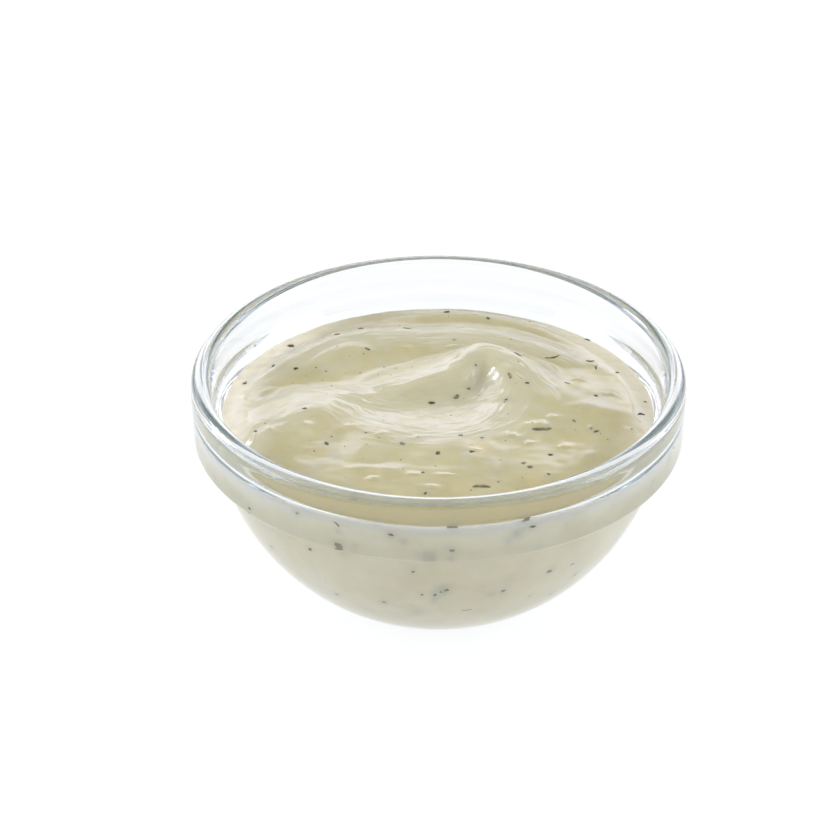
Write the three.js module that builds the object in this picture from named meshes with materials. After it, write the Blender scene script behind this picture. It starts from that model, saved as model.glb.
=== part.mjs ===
// A small stacking glass bowl filled with a thick herb and garlic sauce.
// Millimetres, +Z up. The origin is the centre of the bowl's base, on the
// surface that it stands on. +Y points away from the side the bowl is seen from.
import * as THREE from "three";

// ---- bowl: outer diameter 90, overall height 43.8 ----
const RIM_R = 45; // outer radius of the rim and of the collar below it
const LIP_R = 1.8; // radius of the rounded lip
const LIP_Z = 42; // height of the lip's centre; the top is LIP_Z + LIP_R
const COLLAR_DROP = 10.5; // from the lip's centre down to the collar's lower edge
const COLLAR_TAPER = 0.12; // the collar is this much narrower at its lower edge
const COLLAR_EDGE_R = 1.1; // rounding of the collar's lower edge
const BODY_R = 41.5; // outer radius of the round body
const BODY_DROP = 5.3; // the body's centre lies this far below the lip's centre
const FOOT_IN_R = 15.5; // inner edge of the flat foot ring
const FOOT_RECESS = 0.5; // the base is hollowed this much inside the foot ring
const FOOT_EDGE = 0.7; // rounding at the outer edge of the foot
const WELL_R = 38.95; // inner radius of the round body
const WELL_DROP = 4.8; // centre of the inner round, below the lip's centre
const FLOOR_Z = 3.3; // thickness of the glass at the bottom
const FLOOR_BLEND = 5; // rounding between the floor and the round wall
const STEP_DROP = 5.6; // the inner stacking step, below the lip's centre
const STEP_IN_R = 39.35; // inner edge of the step
const STEP_OUT_R = 41; // the upper wall just above the step
const SEGMENTS = 64;

// ---- sauce ----
const GAP = 0.3; // room between the sauce and the glass
const LEVEL_DROP = 6.5; // the sauce meets the glass this far below the lip's centre
const LEVEL_TILT = 1.05; // it lies this much higher at the front, lower at the back
const FRONT_RISE = 1.1; // and rises this much more along the glass at the very front
const INNER_RISE = 1.1; // the front half of the surface is this much fuller inside
const TOP_RINGS = 20;
const LOW_WALL_RINGS = 3; // rings up the wall, below the step's foot
const STEP_RINGS = 6; // and from there up past the step

const STEP_FOOT_Z = LIP_Z - 7.4; // the round wall ends and the step begins here
const BODY_Z = LIP_Z - BODY_DROP;
const WELL_Z = LIP_Z - WELL_DROP;

// Points along an arc in the profile plane, angles in degrees from the +r axis.
function arc(cr, cz, radius, from, to, steps) {
  const out = [];
  for (let i = 0; i <= steps; i++) {
    const a = THREE.MathUtils.degToRad(from + ((to - from) * i) / steps);
    out.push(new THREE.Vector2(cr + radius * Math.cos(a), cz + radius * Math.sin(a)));
  }
  return out;
}

// Outside of the round body at a height, and the inside of the well at a height.
const bodyRadius = (z) => Math.sqrt(BODY_R ** 2 - (z - BODY_Z) ** 2);
const wellRadius = (z) => Math.sqrt(WELL_R ** 2 - (z - WELL_Z) ** 2);

// The inner wall from the floor's centre up to just under the lip, moved in by `inset`.
function innerWall(inset) {
  const wall = WELL_R - inset;
  const floor = FLOOR_Z + inset;
  const blend = FLOOR_BLEND - inset;
  // centre of the rounding that touches both the floor and the round wall
  const cz = floor + blend;
  const cr = Math.sqrt((wall - blend) ** 2 - (cz - WELL_Z) ** 2);
  const meet = THREE.MathUtils.radToDeg(Math.atan2(cz - WELL_Z, cr));
  const top = THREE.MathUtils.radToDeg(Math.asin((STEP_FOOT_Z - WELL_Z) / wall));
  return [
    new THREE.Vector2(0, floor),
    new THREE.Vector2(cr / 2, floor),
    ...arc(cr, cz, blend, -90, meet, 3),
    ...arc(0, WELL_Z, wall, meet, top, 7).slice(1),
    new THREE.Vector2(STEP_IN_R - inset - 0.1, LIP_Z - STEP_DROP - 0.9),
    new THREE.Vector2(STEP_IN_R - inset + 0.2, LIP_Z - STEP_DROP - 0.2),
    new THREE.Vector2(STEP_IN_R - inset + 0.75, LIP_Z - STEP_DROP + 0.15),
    new THREE.Vector2(STEP_OUT_R - inset - 0.35, LIP_Z - STEP_DROP + 0.45),
    new THREE.Vector2(STEP_OUT_R - inset, LIP_Z - STEP_DROP + 1.2),
    new THREE.Vector2(STEP_OUT_R - inset + 0.15, LIP_Z - 2.2),
  ];
}

function bowlGeometry() {
  const collarR = RIM_R - COLLAR_TAPER;
  const edgeZ = LIP_Z - COLLAR_DROP;
  const underR = bodyRadius(edgeZ - 0.9);
  const footOut = bodyRadius(FOOT_EDGE);
  const low = THREE.MathUtils.radToDeg(Math.atan2(FOOT_EDGE - BODY_Z, footOut));
  const high = THREE.MathUtils.radToDeg(Math.atan2(edgeZ - 0.9 - BODY_Z, underR));
  const outside = [
    new THREE.Vector2(0, FOOT_RECESS),
    new THREE.Vector2(FOOT_IN_R - 0.9, FOOT_RECESS),
    new THREE.Vector2(FOOT_IN_R, 0),
    new THREE.Vector2(footOut - 1.1, 0),
    new THREE.Vector2(footOut - 0.35, 0.2),
    ...arc(0, BODY_Z, BODY_R, low, high, 8),
    new THREE.Vector2(underR + 0.45, edgeZ - 0.25),
    new THREE.Vector2(underR + 1.1, edgeZ),
    ...arc(collarR - COLLAR_EDGE_R, edgeZ + COLLAR_EDGE_R, COLLAR_EDGE_R, -90, 0, 2),
    ...arc(RIM_R - LIP_R, LIP_Z, LIP_R, 0, 180, 8),
  ];
  const profile = [...outside, ...innerWall(0).reverse()];
  return new THREE.LatheGeometry(profile, SEGMENTS).rotateX(Math.PI / 2);
}

// ---- the spooned surface ----
// A stroke is a fold left by the spoon: how broad its back is (0 or above), and
// control points [x, y, rise, reach behind, reach in front] of a smooth line in
// plan. A rise below 0 is a furrow. "Behind" is to the left of the line's way.
const STROKES = [
  // crest up to the peak and down over its right shoulder
  [1.0, [[-19, 5.0, 0.3, 5.0, 3.5], [-15.5, 3.4, 0.8, 6.0, 3.4], [-11.6, 2.2, 1.2, 7.2, 3.2], [-6.6, 4.2, 1.75, 8.2, 4.0], [-2.4, 6.2, 2.2, 8.6, 4.4], [1.6, 8.6, 2.6, 8.0, 4.4], [4.7, 11.6, 3.0, 6.8, 4.4], [7.6, 15.2, 3.35, 4.6, 4.8], [10.4, 15.2, 3.1, 4.6, 6.0], [13.4, 13.4, 2.5, 5.0, 6.8], [16.0, 10.6, 1.6, 5.2, 6.4], [18.4, 7.6, 0.7, 4.6, 5], [20.0, 5.0, 0.1, 3.6, 4]]],
  // the spoon's furrow
  [0.0, [[-22, 6.5, -0.1, 3, 5.0], [-17, 4.6, -0.5, 3, 6.0], [-11, 1.8, -0.7, 3.0, 6.5], [-5, 1.0, -0.6, 3.6, 7.0], [0, 1.2, -0.5, 4.0, 7.0], [4.0, 2.8, -0.65, 4.0, 6.5], [6.6, 5.2, -0.85, 3.8, 5.0], [7.9, 8.0, -0.95, 3.6, 4.4], [8.2, 10.8, -0.5, 3, 3.2]]],
  // near lip of the furrow, round to the right
  [0.0, [[-24, 0.8, 0.1, 3.4, 5], [-21, 0.2, 0.5, 4.0, 6], [-17.5, -1.8, 0.75, 5.2, 7], [-12.5, -6.0, 0.7, 6.2, 7], [-6, -9.4, 0.5, 7.4, 7], [0, -10.6, 0.5, 7.8, 7], [5.5, -9.2, 0.5, 7.4, 7], [9.4, -6.2, 0.55, 6.0, 7], [12.0, -1.4, 0.55, 4.8, 6], [13.2, 4.0, 0.4, 3.6, 4], [13.4, 8.0, 0.2, 3, 3]]],
  // ring ridge round the back, in two overlapping sweeps
  [0.8, [[-36.5, 4, 0.05, 3.0, 4], [-33.5, 9, 0.3, 3.2, 4], [-28.8, 14.6, 0.9, 3.0, 4.5], [-23, 20.4, 1.3, 3.2, 5.5], [-17, 24.8, 1.2, 3.6, 7], [-10, 26.8, 0.8, 3.8, 8.5], [-2, 27.0, 0.65, 4.0, 9], [6, 26.2, 0.6, 4.0, 9], [12, 24.4, 0.3, 3.4, 7]]],
  [0.8, [[4, 29.0, 0.3, 3.0, 6], [10, 26.4, 0.9, 3.2, 6], [15, 23.8, 1.0, 3.6, 4], [19.5, 20.8, 0.8, 3.6, 2.6], [23.5, 17.6, 0.35, 3.4, 2.4], [26.5, 15, 0.1, 3.4, 2.4]]],
  // the same lip where it swings out to the left
  [0.0, [[-36.5, -17.0, 0.2, 9, 7], [-33.0, -13.8, 0.7, 10, 6], [-29.6, -10.2, 1.1, 9.4, 4.8], [-26.4, -6.6, 1.2, 7.6, 4], [-23.2, -3.6, 0.9, 6.4, 3.6], [-20.4, -2.0, 0.45, 4.6, 3.2], [-17.5, -1.4, 0.1, 3, 3]]],
  // bank along the back wall
  [0.0, [[-10, 35.2, 0.1, 2, 3], [-2, 35.8, 0.6, 2, 3.4], [7, 35.2, 0.8, 2, 3.6], [15, 32.4, 0.8, 2, 3.6], [22, 28.0, 0.5, 2, 3.4], [27, 23.5, 0.1, 2, 3]]],
  // broad swell at the right
  [0.0, [[17, 0, 0.2, 12, 7], [23, -1.0, 1.2, 18, 9], [29, -2, 1.6, 19, 9], [37, -4, 1.1, 17, 7]]],
  // swell along the left edge
  [0.0, [[-40, -11, 0.8, 18, 8], [-36, -10, 0.7, 18, 8], [-32, -8.5, 0.4, 15, 8], [-27, -6, 0.1, 9, 7]]],
  // short folds behind the left part of the swirl
  [0.0, [[-25, 12.0, 0.1, 1.8, 2.5], [-20.5, 17.0, 0.45, 1.8, 3.0], [-17, 19.8, 0.55, 1.8, 3.0], [-13.6, 20.0, 0.2, 1.6, 2.5]]],
  [0.0, [[-29, 2.0, 0.1, 1.4, 2.0], [-25.4, 4.4, 0.28, 1.5, 2.2], [-21.4, 5.0, 0.28, 1.5, 2.2], [-17.4, 3.8, 0.1, 1.3, 2.0]]],
  [0.0, [[-33, -3.6, 0.1, 1.2, 2.0], [-29.6, -0.6, 0.24, 1.4, 2.0], [-26.4, 2.0, 0.22, 1.4, 2.0], [-23, 3.0, 0.1, 1.2, 2.0]]],
  // crease under the hook of the peak
  [0.0, [[9.2, 14.0, -0.05, 1.6, 1.6], [8.8, 12.2, -0.18, 1.9, 1.9], [8.2, 10.2, -0.25, 2.0, 2.0], [7.4, 8.4, -0.18, 2.0, 2.0], [6.6, 6.8, -0.05, 1.6, 1.6]]],
  // the mound's soft edge over the end of the furrow
  [0.0, [[9.4, 14.2, 0.1, 3.0, 2.0], [10.9, 11.8, 0.5, 3.6, 2.2], [12.0, 9.0, 0.8, 3.6, 2.4], [12.6, 6.0, 0.7, 3.4, 2.4], [12.4, 3.2, 0.2, 3, 2.4]]],
  // low terrace near the front
  [0.0, [[-24, -19.6, -0.03, 2, 1.6], [-15, -21.4, -0.09, 2.2, 1.6], [-6, -22.2, -0.10, 2.2, 1.6], [4, -23.0, -0.04, 2, 1.4]]],
];
const STROKE_STEPS = 96;
const UNION = 4; // how closely the pieces of one fold keep to its highest one

const strokes = STROKES.map(([broad, rows]) => {
  const line = new THREE.SplineCurve(rows.map((r) => new THREE.Vector2(r[0], r[1])));
  const form = new THREE.SplineCurve(rows.map((r) => new THREE.Vector2(r[2], r[3])));
  const near = new THREE.SplineCurve(rows.map((r) => new THREE.Vector2(r[4], 0)));
  const spots = Array.from({ length: STROKE_STEPS + 1 }, (_, i) => {
    const u = i / STROKE_STEPS;
    return { p: line.getPoint(u), f: form.getPoint(u), n: near.getPoint(u).x };
  });
  spots.forEach((s, i) => {
    const a = spots[Math.max(i - 1, 0)].p;
    const b = spots[Math.min(i + 1, STROKE_STEPS)].p;
    s.length = b.distanceTo(a) / (i === 0 || i === STROKE_STEPS ? 1 : 2);
    s.way = b.clone().sub(a).normalize();
  });
  return { broad, spots, sign: Math.sign(spots.reduce((sum, s) => sum + s.f.x, 0)) };
});

// Height of all the folds together at a point of the plan.
function folds(x, y) {
  let sum = 0;
  for (const { broad, spots, sign } of strokes) {
    let power = 0;
    for (const s of spots) {
      const ex = x - s.p.x;
      const ey = y - s.p.y;
      const side = s.way.x * ey - s.way.y * ex; // above 0 behind the line
      const back = 0.5 + 0.5 * Math.tanh(side);
      const reach = THREE.MathUtils.lerp(s.n, s.f.y, back);
      let u = (ex * ex + ey * ey) / (reach * reach);
      u += (u ** 2.5 - u) * back * broad;
      const rise = Math.abs(s.f.x);
      const high = Math.max(rise - 0.13 * broad * THREE.MathUtils.clamp(side, 0, 5), 0.2 * rise);
      power += (high ** UNION * Math.exp(-UNION * u) * s.length) / (reach * Math.sqrt(Math.PI / UNION));
    }
    sum += sign * power ** (1 / UNION);
  }
  return sum;
}

const frontRise = (y) => FRONT_RISE * THREE.MathUtils.smoothstep(-y / WELL_R, 0.55, 0.98);
const level = (y) => LIP_Z - LEVEL_DROP - (LEVEL_TILT * y) / WELL_R;
const contactZ = (y) => level(y) + frontRise(y);

// Height of the sauce: level, slight rounding down to the glass, and the folds.
function surfaceZ(x, y, edge) {
  const out = THREE.MathUtils.clamp(Math.hypot(x, y) / edge, 0, 1);
  const wall = THREE.MathUtils.smoothstep(out, 0.8, 1);
  const shoulder = 0.5 * (1 - out ** 22);
  const inner =
    INNER_RISE * THREE.MathUtils.smoothstep(-y / WELL_R, 0.1, 0.75) + 0.35 * Math.exp(-(((y + 16) / 14) ** 2)) * (1 - out ** 6);
  const fade = 1 - THREE.MathUtils.smoothstep(out, 0.88, 1);
  return level(y) + shoulder + inner * (1 - wall) + frontRise(y) * wall + fade * folds(x, y);
}

function sauceGeometry() {
  const wall = innerWall(GAP);
  // the wall's radius at a height, read off the same profile
  const radiusAt = (z) => {
    for (let i = wall.length - 1; i > 0; i--)
      if (z >= wall[i - 1].y)
        return THREE.MathUtils.mapLinear(z, wall[i - 1].y, wall[i].y, wall[i - 1].x, wall[i].x);
    return 0;
  };
  // A profile with the right number of rings: floor, wall, then the top back to the axis.
  // Each vertex then goes to its real place, because the sauce's edge isn't level.
  const low = wall.slice(0, 6);
  const lowTop = low[low.length - 1].y;
  const rows = [...low.map((p) => ({ r: p.x, z: p.y, kind: "floor" }))];
  for (let i = 1; i <= LOW_WALL_RINGS; i++) rows.push({ r: 1, z: i / LOW_WALL_RINGS, kind: "low" });
  for (let i = 1; i <= STEP_RINGS; i++) rows.push({ r: 1, z: i / STEP_RINGS, kind: "step" });
  for (let i = 1; i <= TOP_RINGS; i++) rows.push({ r: 1 - i / TOP_RINGS, z: 0, kind: "top" });
  const g = new THREE.LatheGeometry(
    rows.map((p, i) => new THREE.Vector2(i === 0 || i === rows.length - 1 ? 0 : 1, i)),
    SEGMENTS,
  ).rotateX(Math.PI / 2);
  const pos = g.getAttribute("position");
  for (let i = 0; i < pos.count; i++) {
    const row = rows[Math.round(pos.getZ(i))];
    const angle = (Math.floor(i / rows.length) / SEGMENTS) * Math.PI * 2;
    const cx = Math.sin(angle);
    const cy = -Math.cos(angle);
    const rimZ = contactZ(WELL_R * cy);
    const edge = radiusAt(rimZ);
    let r = row.r;
    let z = row.z;
    const footZ = Math.min(STEP_FOOT_Z, rimZ - 0.9);
    if (row.kind === "low" || row.kind === "step") {
      z = row.kind === "low" ? THREE.MathUtils.lerp(lowTop, footZ, row.z) : THREE.MathUtils.lerp(footZ, rimZ, row.z);
      r = radiusAt(z);
    } else if (row.kind === "top") {
      r = edge * row.r ** 0.9;
      z = surfaceZ(cx * r, cy * r, edge);
    }
    pos.setXYZ(i, cx * r, cy * r, z);
  }
  g.deleteAttribute("normal");
  g.deleteAttribute("uv");
  return g;
}

const garlicSauce = new THREE.Group();

const bowl = new THREE.Mesh(
  bowlGeometry(),
  new THREE.MeshStandardMaterial({ color: 0xdfe8e4, roughness: 0.03, metalness: 0, transparent: true, opacity: 0.35 }),
);
bowl.name = "glass_bowl";
garlicSauce.add(bowl);

const sauce = new THREE.Mesh(
  sauceGeometry(),
  new THREE.MeshStandardMaterial({ color: 0xd9d2b0, roughness: 0.28, metalness: 0 }),
);
sauce.name = "garlic_sauce";
garlicSauce.add(sauce);

export default garlicSauce;
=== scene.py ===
# A small stacking glass bowl of garlic and herb sauce: the looks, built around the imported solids.
# Sizes below are in millimetres unless a name says otherwise; meshes are made in metres.
import bpy
import math
import numpy as np
from mathutils import Vector, Matrix


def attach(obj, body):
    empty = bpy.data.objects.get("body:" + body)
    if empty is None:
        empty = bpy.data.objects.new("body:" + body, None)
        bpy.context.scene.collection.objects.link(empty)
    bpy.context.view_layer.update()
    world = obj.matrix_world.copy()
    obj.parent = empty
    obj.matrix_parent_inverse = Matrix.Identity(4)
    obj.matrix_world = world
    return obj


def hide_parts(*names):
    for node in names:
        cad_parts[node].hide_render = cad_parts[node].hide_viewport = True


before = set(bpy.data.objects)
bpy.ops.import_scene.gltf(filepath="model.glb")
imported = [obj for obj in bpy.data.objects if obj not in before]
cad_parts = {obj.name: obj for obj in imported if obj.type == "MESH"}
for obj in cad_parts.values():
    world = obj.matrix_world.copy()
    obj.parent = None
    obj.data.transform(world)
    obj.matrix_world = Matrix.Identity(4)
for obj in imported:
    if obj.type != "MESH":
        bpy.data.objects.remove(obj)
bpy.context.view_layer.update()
MM = 0.001

# ---------------------------------------------------------------- bowl sizes (as in the solids)
RIM_R = 45.0
LIP_R = 1.8
LIP_Z = 42.0
COLLAR_DROP = 10.5
COLLAR_TAPER = 0.12
COLLAR_EDGE_R = 1.1
BODY_R = 41.5
BODY_Z = LIP_Z - 5.3
FOOT_IN_R = 15.5
FOOT_RECESS = 0.5
WELL_R = 38.95
WELL_Z = LIP_Z - 4.8
FLOOR_Z = 3.3
FLOOR_BLEND = 5.0
STEP_DROP = 5.6
STEP_IN_R = 39.35
STEP_OUT_R = 41.0
STEP_FOOT_Z = LIP_Z - 7.4

# ---------------------------------------------------------------- small tools
def lattice(ix, iy, seed):
    h = (ix.astype(np.int64) * 374761393 + iy.astype(np.int64) * 668265263 + seed * 144269504) & 0xFFFFFFFF
    h = ((h ^ (h >> 13)) * 1274126177) & 0xFFFFFFFF
    return ((h ^ (h >> 16)) & 0xFFFF) / 65535.0


def noise2(x, y, seed=0):
    """Smooth gradient noise over the plane, about -1 to 1."""
    x, y = np.broadcast_arrays(np.asarray(x, float), np.asarray(y, float))
    ix, iy = np.floor(x), np.floor(y)
    fx, fy = x - ix, y - iy
    ux, uy = fx * fx * fx * (fx * (fx * 6 - 15) + 10), fy * fy * fy * (fy * (fy * 6 - 15) + 10)
    total = 0
    for dx in (0, 1):
        for dy in (0, 1):
            a = lattice(ix + dx, iy + dy, seed) * 2 * math.pi
            g = np.cos(a) * (fx - dx) + np.sin(a) * (fy - dy)
            total = total + g * (ux if dx else 1 - ux) * (uy if dy else 1 - uy)
    return total * 1.5


def fbm(x, y, seed=0, octaves=3):
    return sum(noise2(x * 2.03 ** k, y * 2.03 ** k, seed + 17 * k) * 0.5 ** k for k in range(octaves))


def smooth(e0, e1, x):
    t = np.clip((x - e0) / (e1 - e0), 0, 1)
    return t * t * (3 - 2 * t)


def arc(cr, cz, radius, a0, a1, n):
    a = np.radians(np.linspace(a0, a1, n))
    return np.stack([cr + radius * np.cos(a), cz + radius * np.sin(a)], 1)


def soften(path, step=0.05, sigma=0.15):
    """The polyline resampled evenly and rounded, as pressed glass is."""
    seg = np.hypot(*np.diff(path, axis=0).T)
    s = np.r_[0, np.cumsum(seg)]
    n = int(s[-1] / step)
    t = np.linspace(0, s[-1], n)
    fine = np.stack([np.interp(t, s, path[:, 0]), np.interp(t, s, path[:, 1])], 1)
    k = int(3 * sigma / step)
    w = np.exp(-0.5 * (np.arange(-k, k + 1) * step / sigma) ** 2)
    w /= w.sum()
    pad = np.concatenate([2 * fine[0] - fine[k:0:-1], fine, 2 * fine[-1] - fine[-2:-k - 2:-1]])
    out = np.stack([np.convolve(pad[:, i], w, "valid") for i in (0, 1)], 1)
    out[0], out[-1] = fine[0], fine[-1]
    return out


def thin(path, most=0.9, turn=4.0):
    """Drops points of a fine polyline, so that more are left where it bends."""
    keep = [0]
    d = np.diff(path, axis=0)
    ang = np.degrees(np.unwrap(np.arctan2(d[:, 1], d[:, 0])))
    last_a, run = ang[0], 0.0
    for i in range(1, len(path) - 1):
        run += math.hypot(*d[i - 1])
        if run >= most or abs(ang[i] - last_a) >= turn:
            keep.append(i)
            last_a, run = ang[i], 0.0
    keep.append(len(path) - 1)
    return path[keep]


def new_mesh(name, verts, faces, smooth_shade=True):
    me = bpy.data.meshes.new(name)
    me.from_pydata([tuple(v) for v in np.asarray(verts, float)], [], faces)
    me.update()
    if smooth_shade:
        me.shade_smooth()
    ob = bpy.data.objects.new(name, me)
    bpy.context.scene.collection.objects.link(ob)
    return ob


def lathe(name, profile, segments, wobble=None):
    """A closed solid of revolution. The profile runs from the axis, out and back to the axis."""
    a = np.arange(segments) / segments * 2 * math.pi
    inner = profile[1:-1]
    r, z = inner[:, 0][None, :], inner[:, 1][None, :]
    ca, sa = np.cos(a)[:, None], np.sin(a)[:, None]
    if wobble is not None:
        dr, dz = wobble(a[:, None], r, z)
    else:
        dr = dz = 0
    x, y, zz = (r + dr) * sa, -(r + dr) * ca, np.broadcast_to(z + dz, (segments, len(inner)))
    ring = np.stack([x, y, zz], 2).reshape(-1, 3)
    m = len(inner)
    verts = np.concatenate([ring, [[0, 0, profile[0][1]], [0, 0, profile[-1][1]]]]) * MM
    first, last = len(ring), len(ring) + 1
    faces = []
    for i in range(segments):
        j = (i + 1) % segments
        for k in range(m - 1):
            faces.append((i * m + k, j * m + k, j * m + k + 1, i * m + k + 1))
        faces.append((first, j * m, i * m))
        faces.append((last, i * m + m - 1, j * m + m - 1))
    return new_mesh(name, verts, faces)


# ---------------------------------------------------------------- glass bowl
def inner_path(inset=0.0):
    wall, floor, blend = WELL_R - inset, FLOOR_Z + inset, FLOOR_BLEND - inset
    cz = floor + blend
    cr = math.sqrt((wall - blend) ** 2 - (cz - WELL_Z) ** 2)
    meet = math.degrees(math.atan2(cz - WELL_Z, cr))
    top = math.degrees(math.asin((STEP_FOOT_Z - WELL_Z) / wall))
    return np.concatenate([
        [[0, floor], [cr / 2, floor]],
        arc(cr, cz, blend, -90, meet, 14),
        arc(0, WELL_Z, wall, meet, top, 60)[1:],
        [[STEP_IN_R - inset - 0.1, LIP_Z - STEP_DROP - 0.9],
         [STEP_IN_R - inset + 0.2, LIP_Z - STEP_DROP - 0.2],
         [STEP_IN_R - inset + 0.75, LIP_Z - STEP_DROP + 0.15],
         [STEP_OUT_R - inset - 0.35, LIP_Z - STEP_DROP + 0.45],
         [STEP_OUT_R - inset, LIP_Z - STEP_DROP + 1.2],
         [STEP_OUT_R - inset + 0.15, LIP_Z - 2.2]],
    ])


def inner_wall(inset=0.0):
    return soften(inner_path(inset), 0.05, 1.0)


def outer_path():
    collar = RIM_R - COLLAR_TAPER
    edge = LIP_Z - COLLAR_DROP
    body = lambda z: math.sqrt(BODY_R ** 2 - (z - BODY_Z) ** 2)
    under = body(edge - 0.9)
    foot = body(0.7)
    return np.concatenate([
        [[0, FOOT_RECESS], [FOOT_IN_R - 0.9, FOOT_RECESS], [FOOT_IN_R, 0], [foot - 1.1, 0], [foot - 0.35, 0.2]],
        arc(0, BODY_Z, BODY_R, math.degrees(math.atan2(0.7 - BODY_Z, foot)),
            math.degrees(math.atan2(edge - 0.9 - BODY_Z, under)), 70),
        [[under + 0.45, edge - 0.25], [under + 1.1, edge]],
        arc(collar - COLLAR_EDGE_R, edge + COLLAR_EDGE_R, COLLAR_EDGE_R, -90, 0, 10),
        arc(RIM_R - LIP_R, LIP_Z, LIP_R, 0, 180, 60),
    ])


def bowl_profile():
    outside = soften(outer_path(), 0.05, 0.22)
    inside = soften(np.concatenate([inner_wall(), outside[:-25:-1]]), 0.05, 0.3)
    cut = int(np.argmin(np.hypot(inside[:, 0] - outside[-14][0], inside[:, 1] - outside[-14][1])))
    return thin(np.concatenate([outside[:-14], inside[: cut + 1][::-1]]), 1.1, 5.0)


def glass_wobble(a, r, z):
    """Pressed glass is never quite true: a few hundredths of a millimetre."""
    ca, sa = np.cos(a), np.sin(a)
    ripple = 0.02 * noise2(ca * 2.0 + z * 0.11, sa * 2.0 - z * 0.07, 5)
    return ripple * smooth(0.0, 3.0, z) * smooth(8, 20, r), 0.02 * noise2(ca * 1.5 + 3, sa * 1.5, 8) * smooth(2, 10, z)


bowl = lathe("bowl_glass", bowl_profile(), 420, glass_wobble)

# ---------------------------------------------------------------- sauce surface
LEVEL_DROP = 6.5
LEVEL_TILT = 1.05
FRONT_RISE = 1.1
INNER_RISE = 1.1
UNION = 4.0
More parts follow.
